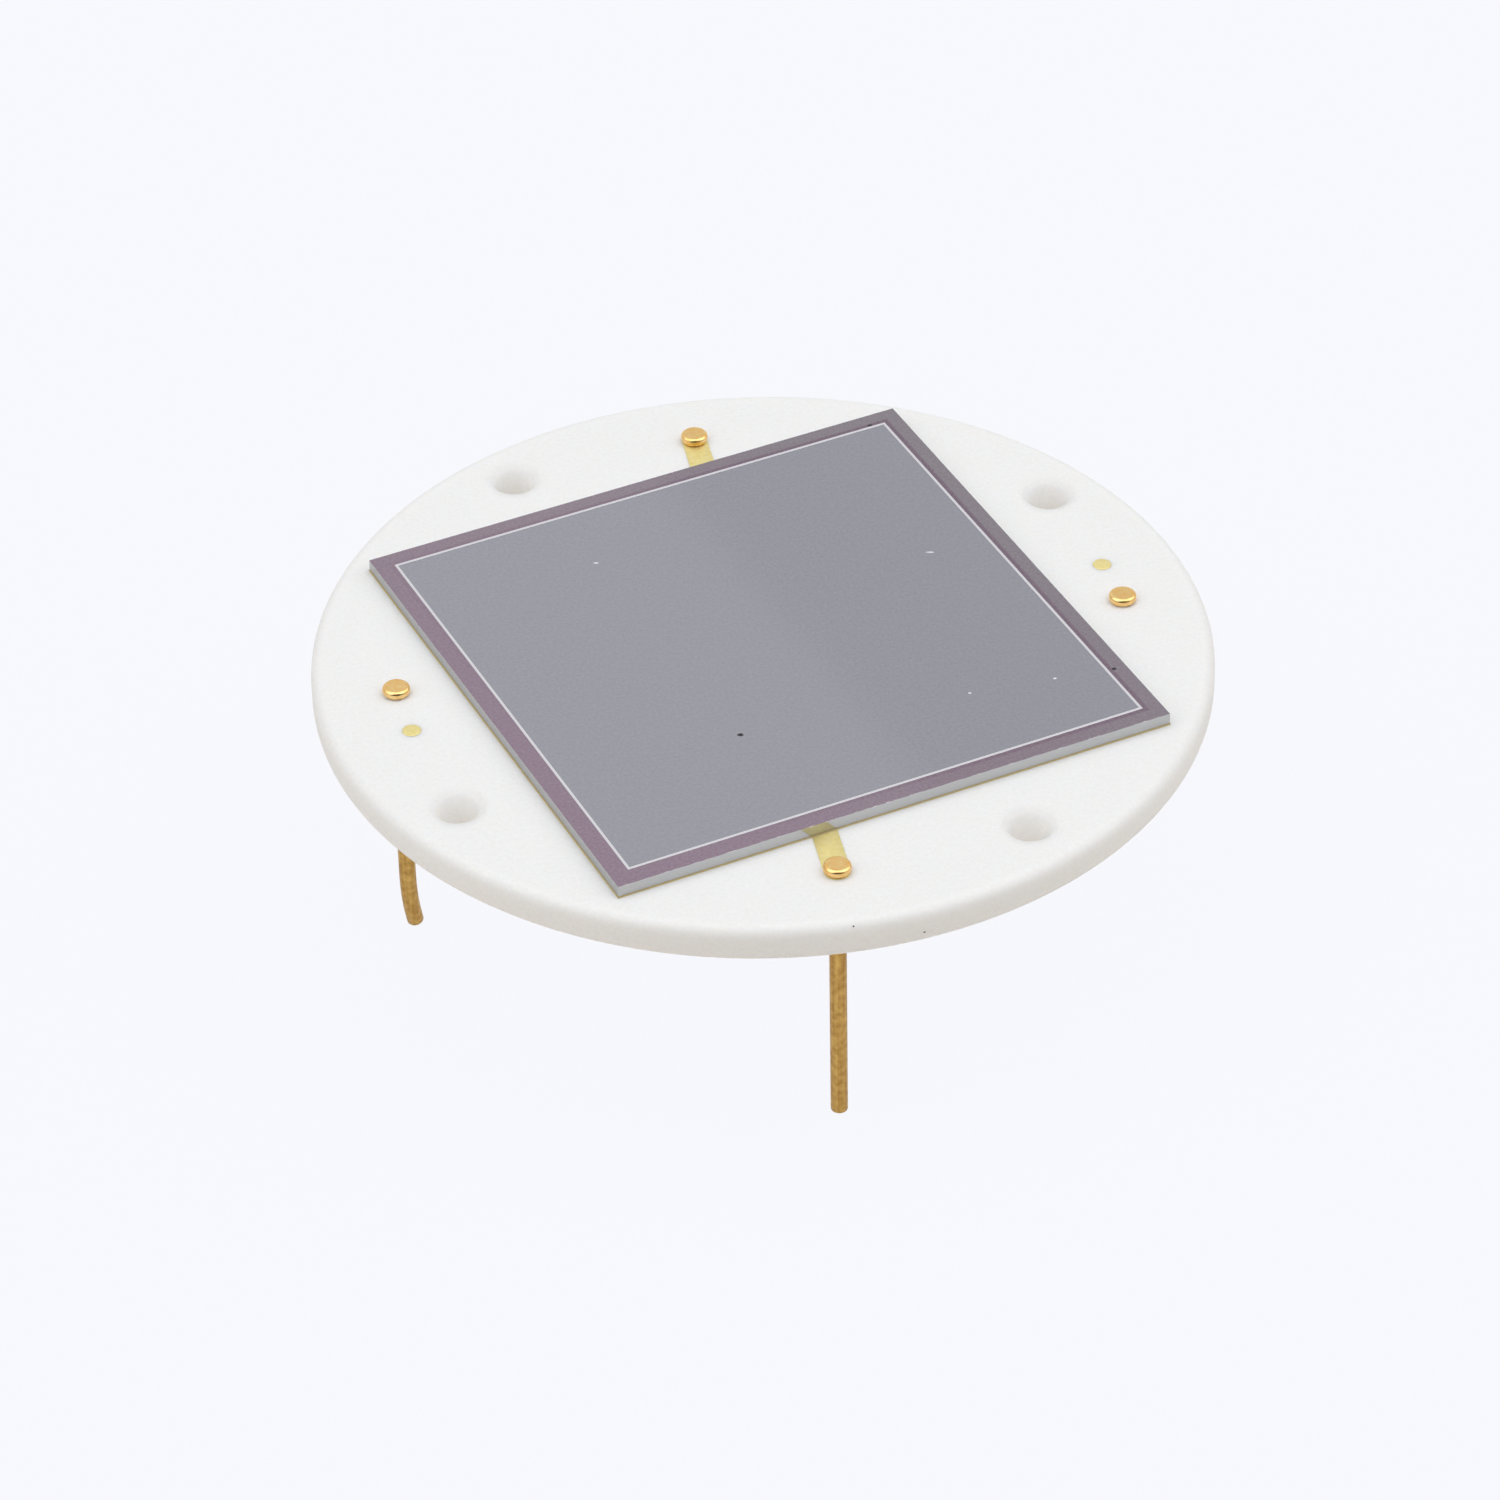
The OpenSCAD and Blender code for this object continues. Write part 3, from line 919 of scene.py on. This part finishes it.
class PHOTODIODE_OT_stage(bpy.types.Operator):
    """Sets up the floor, the soft light and the camera"""
    bl_idname = "photodiode.stage"
    bl_label = "Stage"

    # Each soft box: its heading and elevation in degrees, the side of its face in metres and its brightness
    SOFTBOXES = (("overhead_softbox", 80, 88, 1.0, 0.94), ("right_softbox", 350, 42, 1.0, 0.92),
                 ("left_softbox", 190, 42, 1.0, 0.92))

    # Shares of the background's colour that the camera and what mirrors the floor see on it, and its strength
    FLOOR_SEEN = 0.97
    FLOOR_MIRRORED = 0.75
    FLOOR_STRENGTH = 1.01

    # Headings and elevations in degrees: the bright side of the room, the figure behind the camera, and the
    # direction square to the edge of the screen
    BACKDROP = (80, 0)
    FIGURE = (260, 22)
    SCREEN = (15.49, -31.17)

    # The room: the height from which it is as bright as overhead, its level for matt surfaces, how far its
    # brightness leans to the bright side, and how much the figure takes away
    ROOM_TOP = 0.75
    MATT_LEVEL = 0.6
    LEAN = 0.5
    FIGURE_DEPTH = 0.8

    # Cosines of the angles from the figure at which it begins and is darkest
    FIGURE_EDGE = (0.7, 0.95)

    # Sines of the angles from the edge of the screen: half the width of the edge, and where the gap beside it
    # starts and ends to fade. Last, how much the gap takes away
    SCREEN_EDGE = 0.002
    GAP_FADE = (0.06, 0.2)
    GAP_DEPTH = 0.16

    def execute(self, context):
        settings = context.scene.photodiode.stage
        context.scene.view_settings.view_transform = "Standard"
        self.floor(context, settings)
        self.sky(context, settings)
        for name, heading, elevation, side, brightness in self.SOFTBOXES:
            self.lamp(context, name, direction(heading, elevation), side, brightness)
        self.camera(context, settings)
        return {"FINISHED"}

    def floor(self, context, settings):
        """A pale round floor under the pin tips. It shows the background's colour with a soft share of the
        shadow, and nothing from below."""
        bm = bmesh.new()
        radii = (0.03, 0.1, 0.4, 1.5)
        rings = [circle(Vector((0, 0)), radius, count=96) for radius in radii]
        rows = [[bm.verts.new((*point, 0)) for point in ring] for ring in rings]
        bm.faces.new(rows[0])
        for inner, outer in zip(rows, rows[1:]):
            for i, vert in enumerate(inner):
                after = (i + 1) % len(inner)
                bm.faces.new((vert, outer[i], outer[after], inner[after]))
        mesh = bpy.data.meshes.new("floor")
        bm.to_mesh(mesh)
        bm.free()
        floor = bpy.data.objects.new("floor", mesh)
        context.scene.collection.objects.link(floor)
        material = bpy.data.materials.new("pale matt paper")
        material.use_nodes = True
        tree = material.node_tree
        tree.nodes.clear()
        matt = add_node(tree, "ShaderNodeBsdfDiffuse", None, {"Color": settings.bounce}).outputs[0]
        pale = add_node(tree, "ShaderNodeEmission", None,
                        {"Color": settings.ground, "Strength": self.FLOOR_STRENGTH}).outputs[0]
        path = add_node(tree, "ShaderNodeLightPath").outputs
        seen = add_node(tree, "ShaderNodeMath", {"operation": "MULTIPLY"},
                        {0: path["Is Camera Ray"], 1: self.FLOOR_SEEN}).outputs[0]
        share = add_node(tree, "ShaderNodeMath", {"operation": "MULTIPLY_ADD"},
                         {0: path["Is Glossy Ray"], 1: self.FLOOR_MIRRORED, 2: seen}).outputs[0]
        top = add_node(tree, "ShaderNodeMixShader", None, {0: share, 1: matt, 2: pale}).outputs[0]
        below = add_node(tree, "ShaderNodeNewGeometry").outputs["Backfacing"]
        clear = add_node(tree, "ShaderNodeBsdfTransparent").outputs[0]
        both = add_node(tree, "ShaderNodeMixShader", None, {0: below, 1: top, 2: clear}).outputs[0]
        add_node(tree, "ShaderNodeOutputMaterial", None, {"Surface": both})
        material.cycles.emission_sampling = "NONE"
        mesh.materials.append(material)

    def sky(self, context, settings):
        """A soft room, dimmer and warmer at its foot, with a gap beside a screen behind the part. What mirrors
        it sees it at full strength, brighter behind the part and with a dark figure behind the camera. Matt
        surfaces get it dimmed and without these two, and the camera sees the background's colour."""
        world = bpy.data.worlds.new("soft room")
        context.scene.world = world
        world.use_nodes = True
        tree = world.node_tree
        tree.nodes.clear()
        way = add_node(tree, "ShaderNodeTexCoord").outputs["Generated"]
        height = add_node(tree, "ShaderNodeSeparateXYZ", None, {0: way}).outputs[2]
        behind, near, across = [add_node(tree, "ShaderNodeVectorMath", {"operation": "DOT_PRODUCT"},
                                         {0: way, 1: direction(*to)}).outputs["Value"]
                                for to in (self.BACKDROP, self.FIGURE, self.SCREEN)]
        path = add_node(tree, "ShaderNodeLightPath").outputs
        mirrored = path["Is Glossy Ray"]
        lean = add_node(tree, "ShaderNodeMath", {"operation": "MULTIPLY"},
                        {0: mirrored, 1: self.LEAN}).outputs[0]
        lift = add_node(tree, "ShaderNodeMath", {"operation": "MULTIPLY_ADD"},
                        {0: behind, 1: lean, 2: height}).outputs[0]
        share = add_node(tree, "ShaderNodeMapRange", {"interpolation_type": "SMOOTHSTEP"},
                         {"Value": lift, "From Max": self.ROOM_TOP}).outputs[0]
        tone = add_node(tree, "ShaderNodeMix", COLOURS,
                        {SHARE: share, FROM: settings.horizon, TO: settings.zenith}).outputs[MIXED]
        shade = add_node(tree, "ShaderNodeMath", {"operation": "MULTIPLY_ADD"},
                         {0: mirrored, 1: -self.FIGURE_DEPTH, 2: 1.0}).outputs[0]
        figure = add_node(tree, "ShaderNodeMapRange", {"interpolation_type": "SMOOTHSTEP"},
                          {"Value": near, "From Min": self.FIGURE_EDGE[0], "From Max": self.FIGURE_EDGE[1],
                           "To Min": 1.0, "To Max": shade}).outputs[0]
        begin = add_node(tree, "ShaderNodeMapRange", None,
                         {"Value": across, "From Min": -self.SCREEN_EDGE, "From Max": self.SCREEN_EDGE,
                          "To Max": self.GAP_DEPTH}).outputs[0]
        fade = add_node(tree, "ShaderNodeMapRange", None,
                        {"Value": across, "From Min": self.GAP_FADE[0], "From Max": self.GAP_FADE[1],
                         "To Min": 1.0, "To Max": 0.0}).outputs[0]
        gap = add_node(tree, "ShaderNodeMath", {"operation": "MULTIPLY"}, {0: begin, 1: fade}).outputs[0]
        level = add_node(tree, "ShaderNodeMath", {"operation": "MULTIPLY_ADD"},
                         {0: mirrored, 1: 1.0 - self.MATT_LEVEL, 2: self.MATT_LEVEL}).outputs[0]
        strength = add_node(tree, "ShaderNodeMath", {"operation": "SUBTRACT"}, {0: 1.0, 1: gap}).outputs[0]
        for factor in (figure, level):
            strength = add_node(tree, "ShaderNodeMath", {"operation": "MULTIPLY"},
                                {0: strength, 1: factor}).outputs[0]
        room = add_node(tree, "ShaderNodeBackground", None, {"Color": tone, "Strength": strength}).outputs[0]
        plain = add_node(tree, "ShaderNodeBackground", None, {"Color": settings.ground}).outputs[0]
        both = add_node(tree, "ShaderNodeMixShader", None,
                        {0: path["Is Camera Ray"], 1: room, 2: plain}).outputs[0]
        add_node(tree, "ShaderNodeOutputWorld", None, {"Surface": both})

    def lamp(self, context, name, place, side, brightness):
        """A square soft box that faces the part, with the brightness of its face."""
        data = bpy.data.lights.new(name, "AREA")
        data.shape = "SQUARE"
        data.size = side
        data.energy = brightness * math.pi * side * side
        lamp = bpy.data.objects.new(name, data)
        lamp.location = place
        lamp.rotation_euler = (Vector((0, 0, TOP_Z)) - place).to_track_quat("-Z", "Y").to_euler()
        lamp.visible_camera = False
        context.scene.collection.objects.link(lamp)

    def camera(self, context, settings):
        """The camera at the photograph's angle, aimed a little in front of the middle of the base."""
        data = bpy.data.cameras.new("camera")
        data.lens = settings.lens
        data.sensor_width = 36.0
        data.clip_start = 0.01
        camera = bpy.data.objects.new("camera", data)
        middle = Vector((0, 0, TOP_Z))
        level = math.cos(settings.elevation)
        back = Vector((math.sin(settings.azimuth) * level, -math.cos(settings.azimuth) * level,
                       math.sin(settings.elevation)))
        eye = middle + back * settings.distance
        aim = middle + Vector((*settings.aim, 0))
        turn = (aim - eye).to_track_quat("-Z", "Y").to_matrix().to_4x4()
        camera.matrix_world = Matrix.Translation(eye) @ turn @ Matrix.Rotation(settings.roll, 4, "Z")
        context.scene.collection.objects.link(camera)
        context.scene.camera = camera


class PHOTODIODE_PT_panel(bpy.types.Panel):
    """Lists the pieces of the photodiode and its stage"""
    bl_idname = "PHOTODIODE_PT_panel"
    bl_label = "Photodiode"
    bl_space_type = "VIEW_3D"
    bl_region_type = "UI"
    bl_category = "Photodiode"

    def draw(self, context):
        for operator in OPERATORS:
            self.layout.operator(operator.bl_idname)
        part = context.scene.photodiode
        for group in (part.base, part.film, part.chip, part.pins, part.finishes, part.stage):
            box = self.layout.box()
            for name in group.bl_rna.properties.keys():
                if name not in ("rna_type", "name"):
                    box.prop(group, name)


GROUPS = (BaseSizes, PrintSizes, ChipSizes, PinSizes, Finishes, StageSettings, Photodiode)
OPERATORS = (PHOTODIODE_OT_stage, PHOTODIODE_OT_ceramic_base, PHOTODIODE_OT_gold_print,
             PHOTODIODE_OT_die_attach, PHOTODIODE_OT_silicon_chip, PHOTODIODE_OT_contact_line,
             PHOTODIODE_OT_pins, PHOTODIODE_OT_specks)
CLASSES = GROUPS + OPERATORS + (PHOTODIODE_PT_panel,)


def register():
    for item in CLASSES:
        bpy.utils.register_class(item)
    bpy.types.Scene.photodiode = PointerProperty(type=Photodiode)


def unregister():
    del bpy.types.Scene.photodiode
    for item in reversed(CLASSES):
        bpy.utils.unregister_class(item)


def main():
    register()
    bpy.ops.photodiode.stage()
    bpy.ops.photodiode.ceramic_base()
    bpy.ops.photodiode.gold_print()
    bpy.ops.photodiode.die_attach()
    bpy.ops.photodiode.silicon_chip()
    bpy.ops.photodiode.contact_line()
    bpy.ops.photodiode.pins()
    bpy.ops.photodiode.specks()


if __name__ == "__main__":
    main()
